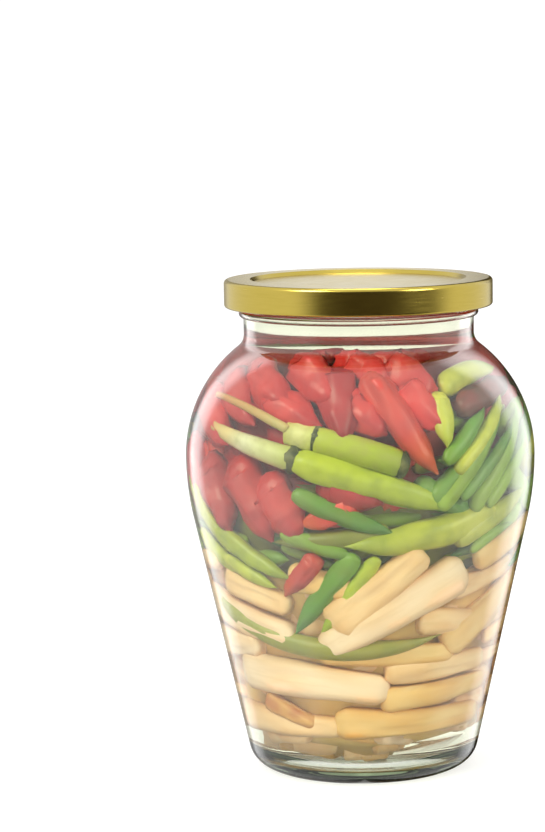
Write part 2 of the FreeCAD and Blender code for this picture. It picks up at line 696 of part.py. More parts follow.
def make_heaps():
    """The three packed layers, one over the other, each one solid out to its uneven outline."""
    room = make_filling(
        "packing_room", "(Sizes.wall + Sizes.pack_gap)", CORE_FLOOR, "Sizes.inner_heel_curve - Sizes.pack_gap"
    )
    inner = make_body("packing_core")
    revolve(inner, draw_core(inner), "packing_core_turned")
    doc.recompute()

    shoots = [make_core("shoot_core", inner, "0", SHOOT_TOP)]
    floor = value("Sizes.base_thickness")
    depth = value(SHOOT_TOP) - floor
    rows = max(1, round(depth / (value("Sizes.shoot_width") * SHOOTS["row_pitch"])))
    row_step = depth / rows
    seat_step = FULL_TURN / SHOOTS["in_row"]
    for row in range(rows):
        for seat in range(SHOOTS["in_row"]):
            index = row * SHOOTS["in_row"] + seat
            azimuth = seat_step * (seat + row * SHOOTS["stagger"]) + unevenness(index, SHOOTS["turn"])
            height = floor + row_step * (row + SHOOTS["seat"]) + unevenness(index + 2, SHOOTS["lift"])
            shoots.append(make_shoot(f"shoot_{index}", index, azimuth, height))
    shoot_heap = doc.addObject("Part::Common", "bamboo_shoots")
    shoot_heap.Base = room
    shoot_heap.Tool = fuse("shoots_joined", shoots)

    greens = [make_core("green_core", inner, SHOOT_TOP, GREEN_TOP)]
    depth = value(f"{GREEN_TOP} - {SHOOT_TOP}")
    for index in range(GREENS["count"]):
        level = GREENS["foot"] + GREENS["climb"] * (index % GREENS["levels"])
        foot = value(SHOOT_TOP) + depth * level
        rise = unevenness(index, depth * GREENS["rise"])
        azimuth = index * FULL_TURN / GREENS["count"]
        name = f"green_{index}"
        greens.append(make_chilli(name, "Sizes.green_girth", azimuth, GREENS["sweep"], foot, rise))
    greens_joined = fuse("greens_joined", greens)
    green_heap = cut("green_chillies", greens_joined, shoot_heap)

    reds = [make_core("red_core", inner, GREEN_TOP, RED_TOP)]
    depth = value(f"{RED_TOP} - {GREEN_TOP}")
    seat_step = FULL_TURN / REDS["in_row"]
    for row in range(REDS["rows"]):
        foot = value(GREEN_TOP) + depth * (REDS["foot"] + row * REDS["climb"])
        for seat in range(REDS["in_row"]):
            index = row * REDS["in_row"] + seat
            rise = unevenness(seat, depth * REDS["rise"])
            azimuth = seat_step * (seat + row * REDS["stagger"])
            sweep = REDS["sweep"] + unevenness(index, REDS["turn"])
            reds.append(make_chilli(f"red_{index}", "Sizes.red_girth", azimuth, sweep, foot, rise))
    reds_joined = fuse("reds_joined", reds)
    red_heap = cut("red_chillies", reds_joined, greens_joined)
    return [shoot_heap, green_heap, red_heap]


def make_brine(heaps):
    """The brine, from the floor up to its level in the neck, round everything that is packed in it."""
    blank = make_filling("brine_blank", "Sizes.wall", "Sizes.base_thickness", "Sizes.inner_heel_curve")
    return cut("brine", blank, fuse("packed", heaps))


glass = make_glass()
lid = make_lid()
liner = make_liner()
packed = make_heaps()
brine = make_brine(packed)
doc.recompute()

for item in doc.Objects:
    if "Invalid" in item.State or "Error" in item.State:
        raise RuntimeError(f"{item.Name} did not build: {item.State}")

os.makedirs("parts", exist_ok=True)
for piece in [glass, lid, liner, brine] + packed:
    shape = piece.Shape
    if shape.isNull() or not shape.isValid():
        raise RuntimeError(f"{piece.Label} has no sound shape")
    shape.exportStep(os.path.join("parts", f"{piece.Label}.step"))
    print(piece.Label, len(shape.Solids), round(shape.Volume / 1000, 1), "ml", shape.BoundBox)
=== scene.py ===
import json
import math
import random

import bmesh
import bpy
import numpy
from mathutils import Matrix, Vector, noise
from mathutils.bvhtree import BVHTree

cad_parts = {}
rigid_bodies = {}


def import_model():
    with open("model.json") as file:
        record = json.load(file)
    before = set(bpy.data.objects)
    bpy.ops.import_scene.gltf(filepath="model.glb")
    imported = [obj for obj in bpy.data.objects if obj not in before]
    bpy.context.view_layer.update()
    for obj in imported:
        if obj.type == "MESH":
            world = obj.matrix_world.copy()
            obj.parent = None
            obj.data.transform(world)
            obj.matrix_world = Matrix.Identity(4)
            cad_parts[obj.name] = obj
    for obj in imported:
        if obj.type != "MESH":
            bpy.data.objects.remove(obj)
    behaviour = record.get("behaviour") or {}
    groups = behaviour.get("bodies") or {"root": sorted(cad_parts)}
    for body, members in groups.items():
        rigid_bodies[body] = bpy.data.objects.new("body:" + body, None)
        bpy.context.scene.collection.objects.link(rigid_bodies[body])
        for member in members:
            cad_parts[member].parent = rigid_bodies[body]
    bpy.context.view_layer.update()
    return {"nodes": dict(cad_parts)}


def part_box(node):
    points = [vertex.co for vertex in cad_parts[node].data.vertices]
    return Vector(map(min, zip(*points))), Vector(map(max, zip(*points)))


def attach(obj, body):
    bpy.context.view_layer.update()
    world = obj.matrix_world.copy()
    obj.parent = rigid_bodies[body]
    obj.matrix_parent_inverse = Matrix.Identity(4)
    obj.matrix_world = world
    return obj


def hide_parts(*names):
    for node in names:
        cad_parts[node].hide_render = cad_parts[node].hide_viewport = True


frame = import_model()

# A preserve jar with a gold lid: bamboo shoots below, green chillies across the middle, red
# chillies above them, all under brine. Metres, +Z up. An azimuth is in degrees round the jar,
# 0 at the front (-Y) and 90 on the right (+X). Sizes and heights of the vegetables are given in
# millimetres. A share, and the way along a vegetable, runs from 0 to 1.

MM = 0.001
FULL_TURN = 2 * math.pi
GLASS = frame["nodes"]["glass_jar"]
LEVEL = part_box("brine")[1].z

# The sockets of a node that mixes two colours, and the two nodes that the studio uses most.
FACTOR = 0
FIRST = 6
SECOND = 7
MIXED = 2
MATH = "ShaderNodeMath"
RANGE = "ShaderNodeMapRange"


def linear(code):
    """An sRGB hex colour as the linear colour that a shader takes, by the standard's curve."""
    parts = [int(code[place:place + 2], 16) / 255 for place in (0, 2, 4)]
    curve = [part / 12.92 if part <= 0.04045 else ((part + 0.055) / 1.055) ** 2.4 for part in parts]
    return curve + [1.0]


def blend(first, second, share):
    """A colour between two others: the first at 0 and the second at 1."""
    share = min(max(share, 0.0), 1.0)
    return [a + (b - a) * share for a, b in zip(first, second)]


def ease(low, high, number):
    """A smooth step from 0 at low to 1 at high."""
    share = min(max((number - low) / (high - low), 0.0), 1.0)
    return share * share * (3 - 2 * share)


# ---- materials -------------------------------------------------------------------------------


def new_material(name):
    material = bpy.data.materials.new(name)
    material.use_nodes = True
    material.node_tree.nodes.clear()
    return material, material.node_tree


def add(tree, kind, sockets=None, **settings):
    """Add a node. Each socket gets a plain value, or a link from an output or a node's first one."""
    node = tree.nodes.new(kind)
    for name, setting in settings.items():
        setattr(node, name, setting)
    for name, given in (sockets or {}).items():
        if isinstance(given, bpy.types.Node):
            given = given.outputs[0]
        if isinstance(given, bpy.types.NodeSocket):
            tree.links.new(given, node.inputs[name])
        else:
            node.inputs[name].default_value = given
    return node


def clear_body(tree, refraction, shadow_tint, volume_tint, density):
    """Finish a clear material: lamps shine through its surface, and its thickness gives its tint.

    The density is how strongly a metre of it takes up what isn't the tint.
    """
    clear = add(tree, "ShaderNodeBsdfTransparent", {"Color": linear(shadow_tint)})
    lamp = add(tree, "ShaderNodeLightPath")
    mix = add(tree, "ShaderNodeMixShader", {
        0: lamp.outputs["Is Shadow Ray"], 1: refraction.outputs["BSDF"], 2: clear.outputs["BSDF"],
    })
    tint = add(tree, "ShaderNodeVolumeAbsorption", {"Color": linear(volume_tint), "Density": density})
    add(tree, "ShaderNodeOutputMaterial", {
        "Surface": mix.outputs["Shader"], "Volume": tint.outputs["Volume"],
    })


def soda_lime_glass():
    """Soda-lime glass, blown in a mould, as preserve jars are.

    The eye gets a clear wall, faint ripples 25 mm apart in what it mirrors, where the mould was
    cooler, and an olive green only where the glass is thick: at the heel, the rims and the edges.
    """
    material, tree = new_material("soda_lime_glass_blown")
    ripple = add(tree, "ShaderNodeTexNoise", {
        "Vector": add(tree, "ShaderNodeTexCoord").outputs["Object"], "Scale": 1 / (25.0 * MM), "Detail": 1.0,
    })
    bump = add(tree, "ShaderNodeBump", {
        "Height": ripple.outputs["Fac"], "Strength": 0.15, "Distance": 0.5 * MM,
    })
    glass = add(tree, "ShaderNodeBsdfPrincipled", {
        "Base Color": linear("fdfefb"), "Roughness": 0.0, "IOR": 1.5, "Transmission Weight": 1.0,
        "Specular IOR Level": 0.3, "Normal": bump.outputs["Normal"],
    })
    clear_body(tree, glass, shadow_tint="f6faf2", volume_tint="a9bf88", density=24.0)
    return material


def pickling_brine():
    """Salt and vinegar brine, poured in hot and clear.

    The eye gets water that brings what lies in it up to the glass, a little yellow-green in the
    depth from the chillies that steep in it, and almost no shine where it meets the wall.
    """
    material, tree = new_material("pickling_brine")
    water = add(tree, "ShaderNodeBsdfPrincipled", {
        "Base Color": linear("fffffb"), "Roughness": 0.0, "IOR": 1.34, "Transmission Weight": 1.0,
        "Specular IOR Level": 0.1,
    })
    clear_body(tree, water, shadow_tint="fdfdf4", volume_tint="e9e7b4", density=5.0)
    return material


def gold_lacquered_tinplate():
    """Tinplate, cold-rolled, roller-coated with gold lacquer and drawn into a lid.

    The eye gets a warm metal that mirrors the room softly under a thin hard gloss, with faint
    marks along its rolling. Real marks are a twentieth of a millimetre apart, too fine to show:
    these are about 8 mm long and 0.6 mm apart.
    """
    marks_per_metre = 120.0
    drawn_out = 14.0
    material, tree = new_material("gold_lacquered_tinplate")
    place = add(tree, "ShaderNodeTexCoord").outputs["Object"]
    along = add(tree, "ShaderNodeMapping", {"Vector": place, "Scale": (1.0, 1.0, drawn_out)})
    rolled = add(tree, "ShaderNodeTexNoise", {
        "Vector": along.outputs["Vector"], "Scale": marks_per_metre, "Detail": 3.0,
    })
    colour = add(tree, "ShaderNodeMix", {
        FACTOR: rolled.outputs["Fac"], FIRST: linear("b8a446"), SECOND: linear("c6b055"),
    }, data_type="RGBA")
    rough = add(tree, RANGE, {"Value": rolled.outputs["Fac"], "To Min": 0.2, "To Max": 0.3})
    shader = add(tree, "ShaderNodeBsdfPrincipled", {
        "Base Color": colour.outputs[MIXED], "Metallic": 1.0, "Roughness": rough.outputs["Result"],
        "Coat Weight": 0.12, "Coat Roughness": 0.1,
    })
    add(tree, "ShaderNodeOutputMaterial", {"Surface": shader.outputs["BSDF"]})
    return material


def flowed_plastisol():
    """Plastisol, flowed into the lid and cured in an oven.

    The eye gets a soft cream-white rubber with a satin skin, shaded in grains of 2.5 mm.
    """
    material, tree = new_material("flowed_plastisol")
    grain = add(tree, "ShaderNodeTexNoise", {
        "Vector": add(tree, "ShaderNodeTexCoord").outputs["Object"], "Scale": 1 / (2.5 * MM),
    })
    colour = add(tree, "ShaderNodeMix", {
        FACTOR: grain.outputs["Fac"], FIRST: linear("e9e2cf"), SECOND: linear("f3eedf"),
    }, data_type="RGBA")
    shader = add(tree, "ShaderNodeBsdfPrincipled", {
        "Base Color": colour.outputs[MIXED], "Roughness": 0.55,
    })
    add(tree, "ShaderNodeOutputMaterial", {"Surface": shader.outputs["BSDF"]})
    return material


def vegetable_skin(name, blotch, blotch_size, roughness, relief):
    """A pickled vegetable's skin, as it grew: waxy on a chilli, dry on a stalk.

    The eye gets each piece's own colours with blotches in them, a soft gloss as strong as the wax
    is whole, and a fine unevenness. The blotches' and the relief's sizes are in millimetres.
    """
    material, tree = new_material(name)
    place = add(tree, "ShaderNodeTexCoord").outputs["Object"]
    own = add(tree, "ShaderNodeAttribute", attribute_name="skin")
    mottle = add(tree, "ShaderNodeTexNoise", {
        "Vector": place, "Scale": 1 / (blotch_size * MM), "Detail": 4.0,
    })
    amount = add(tree, RANGE, {
        "Value": mottle.outputs["Fac"], "From Min": 0.42, "From Max": 0.75, "To Max": 0.5,
    })
    colour = add(tree, "ShaderNodeMix", {
        FACTOR: amount.outputs["Result"], FIRST: own.outputs["Color"], SECOND: linear(blotch),
    }, data_type="RGBA")
    fine = add(tree, "ShaderNodeTexNoise", {"Vector": place, "Scale": 1 / (relief * MM), "Detail": 2.0})
    bump = add(tree, "ShaderNodeBump", {
        "Height": fine.outputs["Fac"], "Strength": 0.25, "Distance": 0.3 * MM,
    })
    shader = add(tree, "ShaderNodeBsdfPrincipled", {
        "Base Color": colour.outputs[MIXED], "Roughness": roughness, "Normal": bump.outputs["Normal"],
    })
    add(tree, "ShaderNodeOutputMaterial", {"Surface": shader.outputs["BSDF"]})
    return material


def shoot_flesh():
    """Bamboo shoot, boiled, split with a knife and pickled.

    The eye gets a pale satin flesh with darker strands that run along each piece. The strands lie
    in the piece's own grain attribute, nearly 2 mm apart across it.
    """
    material, tree = new_material("split_bamboo_shoot")
    own = add(tree, "ShaderNodeAttribute", attribute_name="skin")
    grain = add(tree, "ShaderNodeAttribute", attribute_name="grain")
    strand = add(tree, "ShaderNodeTexNoise", {
        "Vector": grain.outputs["Vector"], "Scale": 1.0, "Detail": 4.0,
    })
    amount = add(tree, RANGE, {
        "Value": strand.outputs["Fac"], "From Min": 0.5, "From Max": 0.8, "To Max": 0.28,
    })
    colour = add(tree, "ShaderNodeMix", {
        FACTOR: amount.outputs["Result"], FIRST: own.outputs["Color"], SECOND: linear("d6a968"),
    }, data_type="RGBA")
    bump = add(tree, "ShaderNodeBump", {
        "Height": strand.outputs["Fac"], "Strength": 0.3, "Distance": 0.4 * MM,
    })
    shader = add(tree, "ShaderNodeBsdfPrincipled", {
        "Base Color": colour.outputs[MIXED], "Roughness": 0.5, "Normal": bump.outputs["Normal"],
    })
    add(tree, "ShaderNodeOutputMaterial", {"Surface": shader.outputs["BSDF"]})
    return material


# ---- the room inside the glass ---------------------------------------------------------------


class Cavity:
    """The room inside the jar, measured on the frame's own glass.

    The heel is the height from which the round bottom is measured, and what lies above it is the
    wall. Rays are cast a little off the axes, where the mesh has its seams.
    """

    STEP = 1.0 * MM
    HEEL_RISE = 16 * MM
    ABOVE_LEVEL = 6 * MM
    OFF_SEAM = 0.13

    def __init__(self):
        shell = bmesh.new()
        shell.from_mesh(GLASS.data)
        bmesh.ops.remove_doubles(shell, verts=shell.verts, dist=0.001 * MM)
        self.tree = BVHTree.FromBMesh(shell)
        shell.free()
        self.floor = self.tree.ray_cast(Vector((0, 0, 0.5 * LEVEL)), Vector((0, 0, -1)))[0].z
        self.heel = self.floor + self.HEEL_RISE
        count = int((LEVEL + self.ABOVE_LEVEL - self.heel) / self.STEP)
        self.walls = [self.across(self.heel + step * self.STEP) for step in range(count)]

    def across(self, height, lean=0.0):
        """How far the glass is from the axis, level or looking down by an angle."""
        level = math.cos(lean)
        aim = Vector((math.cos(self.OFF_SEAM) * level, math.sin(self.OFF_SEAM) * level, -math.sin(lean)))
        return self.tree.ray_cast(Vector((0, 0, height)), aim)[3]

    def radius(self, height):
        """The inside radius at a height, between the measured ones."""
        place = (height - self.heel) / self.STEP
        if place < 0:
            lean = math.asin(min(1.0, -place * self.STEP / (self.heel - self.floor)))
            return self.across(self.heel, lean) * math.cos(lean)
        index = min(int(place), len(self.walls) - 2)
        share = min(place - index, 1.0)
        return self.walls[index] * (1 - share) + self.walls[index + 1] * share

    def lie(self, height, clearance):
        """How far from the axis something round can lie that keeps a clearance from the glass."""
        nearest = []
        for step in range(-4, 5):
            rise = clearance * step / 4
            nearest.append(self.radius(height + rise) - math.sqrt(clearance ** 2 - rise ** 2))
        return min(nearest)


cavity = Cavity()


def at(azimuth, radius, height):
    turn = math.radians(azimuth)
    return Vector((radius * math.sin(turn), -radius * math.cos(turn), height))


def outward(azimuth):
    turn = math.radians(azimuth)
    return Vector((math.sin(turn), -math.cos(turn), 0))


# ---- growing pieces --------------------------------------------------------------------------


class Growth:
    """A mesh in which many vegetables of one kind are grown, each with its own colours."""

    CAPS = (0.0, 0.82, 1.0)
    CAP_RINGS = 1.6

    def __init__(self):
        self.mesh = bmesh.new()
        self.skin = self.mesh.verts.layers.float_color.new("skin")
        self.grain = self.mesh.verts.layers.float_vector.new("grain")

    def tube(self, rings, sides, shape):
        """Grow a closed tube. shape(along, around, cap) gives a point's place, colour and grain.

        cap shrinks the end rings, down to a point in the middle of each end.
        """
        grid = bmesh.ops.create_grid(self.mesh, x_segments=rings, y_segments=sides, size=0.5)["verts"]
        for vert in grid:
            ring = round((vert.co.x + 0.5) * rings)
            around = FULL_TURN * round((vert.co.y + 0.5) * sides) / sides
            along = min(max((ring - self.CAP_RINGS) / (rings - 2 * self.CAP_RINGS), 0.0), 1.0)
            cap = self.CAPS[min(ring, rings - ring, 2)]
            place, colour, grain = shape(along, around % FULL_TURN, cap)
            vert.co = place
            vert[self.skin] = colour
            vert[self.grain] = grain


class Path:
    """A way along the glass between two (azimuth, height) places, bowed up and set in by depth.

    The depth is one number, or the depths of the two ends. half(share) gives half the thickness
    of what lies there, which keeps CLEAR from the glass. A heading is taken over AHEAD both ways.
    """

    CLEAR = 0.4 * MM
    AHEAD = 0.02

    def __init__(self, start, end, bow, depth, half):
        self.start = start
        self.end = end
        self.bow = bow
        self.depth = depth if isinstance(depth, tuple) else (depth, depth)
        self.half = half
        self.least = 0.6 * half(0.3)
        self.known = {}

    def centre(self, share):
        """The middle of what lies there, at a share of the way."""
        azimuth = self.start[0] + (self.end[0] - self.start[0]) * share
        height = self.start[1] + (self.end[1] - self.start[1]) * share + self.bow * 4 * share * (1 - share)
        thick = max(self.half(min(max(share, 0.0), 1.0)), self.least)
        depth = self.depth[0] + (self.depth[1] - self.depth[0]) * share
        return at(azimuth, cavity.lie(height * MM, thick + self.CLEAR) - depth * MM, height * MM)

    def pose(self, share):
        """The middle there, and the directions out to the glass and across."""
        if share not in self.known:
            azimuth = self.start[0] + (self.end[0] - self.start[0]) * share
            heading = (self.centre(share + self.AHEAD) - self.centre(share - self.AHEAD)).normalized()
            side = heading.cross(outward(azimuth)).normalized()
            self.known[share] = (self.centre(share), side.cross(heading), side)
        return self.known[share]


CHILLI_SIDES = 16
CHILLI_RINGS = 28
STALK_RINGS = 20
FLATTENED = 0.9         # a chilli's thickness towards the glass, as a share of its width
TONE_SPREAD = 0.3       # how much lighter or darker one chilli can be than another
LUMP = 0.1              # how high its broad lumps are, as a share of its thickness
LUMPS_ALONG = 5         # how close lumps and folds lie, along it and round it
FOLDS_ALONG = 1.7
FOLDS_AROUND = 2.4
FINE_FOLD = 0.45        # a second set of folds, how high and how much closer
FINE_FOLDS = 2.3


def grow_chilli(growth, path, colours, seed, creases, rings=CHILLI_RINGS):
    """One chilli: a tapering body that is flat where it is pressed, coloured along its length."""
    tone = 1 + TONE_SPREAD * noise.noise(Vector((seed * 1.37, 0.5, 0.5)))

    def shape(along, around, cap):
        point, out, side = path.pose(along)
        front = math.cos(around)
        flank = math.sin(around)
        lump = noise.noise(Vector((along * LUMPS_ALONG, front, flank + seed * 7.3)))
        fold = Vector((along * FOLDS_ALONG, front * FOLDS_AROUND, flank * FOLDS_AROUND + seed * 3.7))
        crease = noise.noise(fold) + FINE_FOLD * noise.noise(fold * FINE_FOLDS)
        thick = path.half(along) * (1 + LUMP * lump + creases * crease) * cap
        place = point + out * (front * thick * FLATTENED) + side * (flank * thick)
        spread = along * (len(colours) - 1)
        index = min(int(spread), len(colours) - 2)
        colour = blend(colours[index], colours[index + 1], ease(0.0, 1.0, spread - index) + 0.1 * lump)
        colour = [part * tone for part in colour[:3]] + [1.0]
        return place, colour, (along, around, seed)

    growth.tube(rings, CHILLI_SIDES, shape)


def chilli_half(girth, tip):
    """Half the thickness of a chilli along its length, from the calyx to the tip, in metres.

    It swells from its crown, thins slowly and runs out over its point.
    """
    crown_end = 0.16
    point_start = 0.55

    def half(along):
        crown = 0.3 + 0.7 * math.sqrt(1 - (1 - min(along / crown_end, 1.0)) ** 2)
        body = 1 - 0.22 * along ** 1.4
        point = 1.0
        if along > point_start:
            point = max(tip, 1 - ((along - point_start) / 0.45) ** 2.2)
        return girth * MM / 2 * crown * body * point

    return half


def blunt_half(girth):
    """Half the thickness of a piece that is cut straight at both ends, in metres."""
    return lambda along: girth * MM / 2 * (0.93 + 0.07 * math.sin(along * math.pi))


def stem_half(foot, tip):
    """Half the thickness of a stalk, from the calyx to the cut end, in metres."""
    return lambda along: MM / 2 * (foot + (tip - foot) * along ** 1.3)


SHOOT_RINGS = 24
SHOOT_SIDES = 28
SQUARENESS = 3.2        # 2 would make a shoot's section an ellipse, and more makes it squarer
CUT_END = 0.05          # the share of its length over which a cut end is rounded off
CUT_SHRINK = 0.35
THINNING = 0.3
SLIT_DEPTH = 1.6        # millimetres
SLIT_WIDTH = 0.1        # radians round the section
SLIT_DRIFT = 0.15
STRANDS_ALONG = 3       # the grain, per length and per millimetre across
STRANDS_ACROSS = 0.55


def grow_shoot(growth, path, width, thick, colours, seed):
    """One split shoot: a flat baton with soft edges, cut ends and slits between its fibres, its edges
    darkened with painted shade.
    """
    chance = random.Random(seed)
    slits = [chance.uniform(0.25, math.pi - 0.25) for _ in range(chance.choice((0, 1, 1, 2)))]

    def shape(along, around, cap):
        point, out, side = path.pose(along)
        front = math.cos(around)
        flank = math.sin(around)
        bulge = (abs(front) ** SQUARENESS + abs(flank) ** SQUARENESS) ** (-1 / SQUARENESS)
        end = 1 - CUT_SHRINK * (1 - ease(0.0, CUT_END, min(along, 1 - along)))
        taper = 1 - THINNING * along
        wave = noise.noise(Vector((along * 4, front * 1.5, seed * 3.1)))
        across = front * bulge * width / 2 * taper * end * cap * (1 + 0.12 * wave)
        deep = flank * bulge * thick / 2 * end * cap * (1 + 0.2 * wave)
        for slit in slits:
            gap = (around - slit - SLIT_DRIFT * math.sin(along * 7 + seed)) / SLIT_WIDTH
            cut = SLIT_DEPTH * math.exp(-gap * gap) * ease(0.05, 0.3, along)
            deep -= cut * ease(0.0, 0.25, 1 - along) * cap
        place = point + out * (deep * MM) + side * (across * MM)
        # Painted shade: each shoot's edges across it are darkened, towards its warmer colour and then
        # towards a brown, to stand for the shade in the gaps between pieces.
        edge = ease(0.55, 1.0, abs(front) * bulge)
        colour = blend(colours[0], colours[1], 0.5 + wave + 0.3 * edge)
        colour = blend(colour, SHOOT_GAP_SHADE, 0.3 * edge * (0.6 + wave))
        grain = (along * STRANDS_ALONG + seed, across * STRANDS_ACROSS, deep * STRANDS_ACROSS)
        return place, colour, grain

    growth.tube(SHOOT_RINGS, SHOOT_SIDES, shape)


def finish_piece(mesh, name, material, replaces=()):
    """Close a mesh into one smooth piece that rides with the jar."""
    bmesh.ops.remove_doubles(mesh, verts=mesh.verts, dist=0.0005 * MM)
    bmesh.ops.recalc_face_normals(mesh, faces=mesh.faces)
    for face in mesh.faces:
        face.smooth = True
    data = bpy.data.meshes.new(name)
    mesh.to_mesh(data)
    mesh.free()
    data.materials.append(material)
    piece = bpy.data.objects.new(name, data)
    bpy.context.scene.collection.objects.link(piece)
    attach(piece, "root")
    if replaces:
        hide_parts(*replaces)


def spin_profile(corners, steps):
    """Turn a profile of (radius, height) corners round the jar's axis."""
    mesh = bmesh.new()
    verts = [mesh.verts.new((radius, 0, height)) for radius, height in corners]
    edges = [mesh.edges.new(pair) for pair in zip(verts, verts[1:])]
    bmesh.ops.spin(
        mesh, geom=verts + edges, cent=(0, 0, 0), axis=(0, 0, 1), angle=FULL_TURN, steps=steps,
        use_merge=True,
    )
    bmesh.ops.remove_doubles(mesh, verts=mesh.verts, dist=0.002 * MM)
    bmesh.ops.dissolve_degenerate(mesh, edges=mesh.edges, dist=0.001 * MM)
    return mesh


class Heap:
    """What is packed so far: it finds how near the glass the next vegetable can lie.

    Each vegetable counts as balls at PLACES along it. The search goes inwards from the LEAST
    depth in steps, in millimetres. Two may come as near as the SQUEEZE of their sizes, because
    soft vegetables press into each other a little.
    """

    PLACES = 9
    LEAST = 0.2
    STEP = 1.2
    SQUEEZE = 0.78

    def __init__(self):
        self.points = numpy.zeros((0, 3))
        self.sizes = numpy.zeros(0)

    def spots(self, path):
        return numpy.array([path.centre((place + 0.5) / self.PLACES) for place in range(self.PLACES)])

    def take(self, path, size):
        self.points = numpy.vstack((self.points, self.spots(path)))
        self.sizes = numpy.concatenate((self.sizes, numpy.full(self.PLACES, size)))

    def settle(self, start, end, bow, half, size, deepest):
        """The path at the least depth where there is room, or None."""
        spots = self.spots(Path(start, end, bow, self.LEAST, half))
        inward = -spots * (1, 1, 0)
        inward /= numpy.linalg.norm(inward, axis=1)[:, None]
        reach = (self.sizes[None] + size) * self.SQUEEZE
        depth = self.LEAST
        while depth <= deepest:
            moved = spots + inward * (depth * MM)
            apart = numpy.linalg.norm(self.points[None] - moved[:, None], axis=2)
            if (apart > reach).all():
                path = Path(start, end, bow, depth, half)
                self.take(path, size)
                return path
            depth += self.STEP
        return None


heap = Heap()


# ---- colours of the vegetables ---------------------------------------------------------------


def shades(*codes):
    """The colours along a piece, from its start to its end."""
    return [linear(code) for code in codes]


RED = shades("e43a38", "ee4a46", "d83034")
RED_DEEP = shades("c42a30", "d03438", "a82228")
RED_ORANGE = shades("ea5040", "e84a3e", "e0602e")
LIME = shades("cdd63e", "c8d440", "b6c83a")
YELLOW_GREEN = shades("dcd952", "d0d24a", "bec842")
GREEN = shades("a4c040", "94b63c", "7ca636")
GRASS = shades("80aa3c", "6c9c38", "568c34")
OLIVE_YELLOW = shades("c8c452", "b8b24a", "b4a848")
OLIVE = shades("acaa42", "9a983a", "868434")
STRAW = shades("d2d272", "e4de92", "ccc66c")
STALK = shades("ccd070", "e6e4a0", "faf4cc", "f4d894", "e8a860")
TAN = shades("dcc47c", "e4a868", "e09a68")
CALYX = shades("3c4a14", "343f10", "4a5a1c")
MAROON = shades("6e443e", "5c3832", "4c2e2a")
SHOOT = shades("fbd2a4", "f4c08a")
SHOOT_PALE = shades("ffdec2", "fad0a8")
SHOOT_WARM = shades("f6cb8a", "ecb46a")
# The brown of the painted shade on the shoots' edges, for the gaps between pieces.
SHOOT_GAP_SHADE = linear("c98c4e")
SHOOT_BROWN = shades("c47434", "e0a458")


# ---- the packing -----------------------------------------------------------------------------

# What lies against the front of the glass, from one (azimuth, height) to another. Then how far
# it bows up, how deep it is set, its girth in millimetres and its colours.
GREEN_FRONT = [
    ((-24, 127.5), (38, 108), 0.5, (0.0, 3.4), 11.4, LIME),
    ((54, 106), (-6, 96.5), -2.0, 0.6, 12.5, YELLOW_GREEN),
    ((34, 122), (66, 147), 0.0, 0.3, 7.0, YELLOW_GREEN),
    ((28, 109), (62, 143), 2.0, 0.6, 8.0, GREEN),
    ((42, 107), (76, 141), 2.0, 0.6, 8.5, GREEN),
    ((54, 112), (88, 138), 2.0, 0.8, 8.0, GRASS),
    ((26, 112), (47, 130), 1.0, 1.6, 8.5, GRASS),
    ((36, 150), (78, 153), 2.0, 1.0, 9.5, YELLOW_GREEN),
    ((36, 112), (66, 136), 1.0, 0.2, 6.0, GRASS),
    ((48, 108), (80, 131), 2.0, 0.2, 6.0, GREEN),
    ((30, 126), (52, 143), 0.0, 1.0, 6.5, GRASS),
    ((33, 149), (31, 131), 0.0, 0.6, 8.5, YELLOW_GREEN),
    ((-2, 93), (-29, 61), 0.0, 1.0, 8.5, GRASS),
    ((6, 92), (-18, 60), 0.0, 1.4, 6.5, LIME),
    ((-72, 70), (34, 60), -9.0, -0.2, 9.5, OLIVE_YELLOW),
    ((-82, 116), (-50, 89), -1.0, 0.3, 8.0, YELLOW_GREEN),
    ((-62, 99), (-27, 83), -1.0, 0.3, 8.5, LIME),
    ((-60, 88), (-34, 79), 0.0, 0.6, 6.5, YELLOW_GREEN),
    ((-80, 96), (-48, 84), -2.0, 1.5, 8.5, YELLOW_GREEN),
    ((-24, 116), (12, 101), -1.0, 2.0, 8.0, GRASS),
    ((10, 102), (-34, 97), -1.0, 3.0, 8.5, OLIVE),
    ((-30, 101), (-2, 92), 0.0, 2.4, 7.5, GREEN),
    ((58, 122), (92, 100), 0.0, 2.0, 10.0, GREEN),
    ((20, 118), (48, 104), 0.0, 4.0, 10.0, GRASS),
    ((36, 96), (74, 112), 0.0, 0.6, 9.0, YELLOW_GREEN),
]

RED_FRONT = [
    ((4, 157), (27, 122), 0.0, 0.0, 11.5, RED_ORANGE),
    ((-50, 124), (-34, 97), 0.0, 0.3, 16.0, RED),
    ((-36, 119), (-22, 99), 0.0, 1.0, 15.0, RED),
    ((-68, 123), (-54, 98), 0.0, 0.4, 16.0, RED),
    ((-88, 126), (-72, 104), 0.0, 0.6, 15.0, RED_DEEP),
    ((-82, 143), (-52, 131), 0.0, 0.4, 15.0, RED),
    ((-58, 153), (-28, 146), 0.0, 0.6, 16.0, RED),
    ((-72, 149), (-42, 138), 1.0, 1.8, 15.0, RED),
    ((-34, 159), (-8, 148), 0.0, 0.6, 15.0, RED),
    ((-12, 157), (-5, 133), 0.0, 1.5, 13.0, RED_DEEP),
    ((-42, 147), (-14, 139), 0.0, 1.5, 14.0, RED),
    ((11, 159), (34, 150), 0.0, 0.4, 16.0, RED),
    ((18, 152), (32, 137), 0.0, 1.2, 15.0, RED),
    ((-8, 160), (14, 154), 0.0, 1.5, 14.0, RED),
    ((-6, 147), (10, 136), 0.0, 3.0, 14.0, RED),
    ((-2, 112), (-22, 104), 0.0, 3.0, 10.0, RED_ORANGE),
    ((-14, 119), (8, 112), 0.0, 3.0, 12.0, RED_DEEP),
    ((-17, 92), (-31, 76), 0.0, 0.4, 8.5, RED_ORANGE),
    ((40, 143), (82, 149), 0.0, 0.4, 11.0, MAROON),
]

